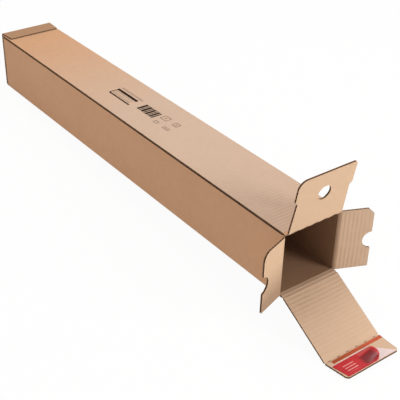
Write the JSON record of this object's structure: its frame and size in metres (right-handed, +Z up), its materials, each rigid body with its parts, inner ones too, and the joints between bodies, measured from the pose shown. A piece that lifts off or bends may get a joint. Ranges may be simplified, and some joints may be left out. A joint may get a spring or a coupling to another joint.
{
  "type": "square cardboard mailing tube",
  "caption": "Long square mailing tube of corrugated cardboard, shut at one end, with open hinged flaps and a sticky closing lip at the other.",
  "frame": {"origin": "middle of the bottom panel's outer face, halfway along the walls and across the tube", "axes": "+X across the tube to the right as seen from the open end, +Y along the tube from the open end to the shut end, +Z up from the bottom panel"},
  "size_m": [0.2083, 1.016, 0.2596],
  "materials": {
    "body_board": "matte",
    "flap_board": "matte",
    "tear_tape": "satin",
    "adhesive": "gloss",
    "liner_film": "gloss"
  },
  "bodies": {
    "tube": {"tube_body": "body_board"},
    "top_flap_body": {"top_flap": "flap_board"},
    "left_dust_body": {"left_dust_flap": "flap_board"},
    "right_dust_body": {"right_dust_flap": "flap_board"},
    "closing_body": {"closing_flap": "flap_board"},
    "lip_body": {"closing_lip": "flap_board", "tear_strip": "tear_tape", "adhesive_strip": "adhesive", "release_liner": "liner_film"}
  },
  "joints": [
    {"name": "top_fold", "type": "hinge", "parent": "tube", "child": "top_flap_body", "pos_m": [0, -0.4348, 0.1095], "axis": [-1, 0, 0], "range_deg": [-170, 35]},
    {"name": "left_dust_fold", "type": "hinge", "parent": "tube", "child": "left_dust_body", "pos_m": [-0.054, -0.4315, 0.0555], "axis": [0, 0, -1], "range_deg": [-162, 43]},
    {"name": "right_dust_fold", "type": "hinge", "parent": "tube", "child": "right_dust_body", "pos_m": [0.054, -0.4315, 0.0555], "axis": [0, 0, 1], "range_deg": [-156, 49]},
    {"name": "closing_fold", "type": "hinge", "parent": "tube", "child": "closing_body", "pos_m": [0, -0.4381, 0.0015], "axis": [1, 0, 0], "range_deg": [-106.5, 84.5]},
    {"name": "lip_fold", "type": "hinge", "parent": "closing_body", "child": "lip_body", "pos_m": [0, -0.534, -0.05499], "axis": [-1, 0, 0], "range_deg": [-124.5, 55.5]}
  ]
}
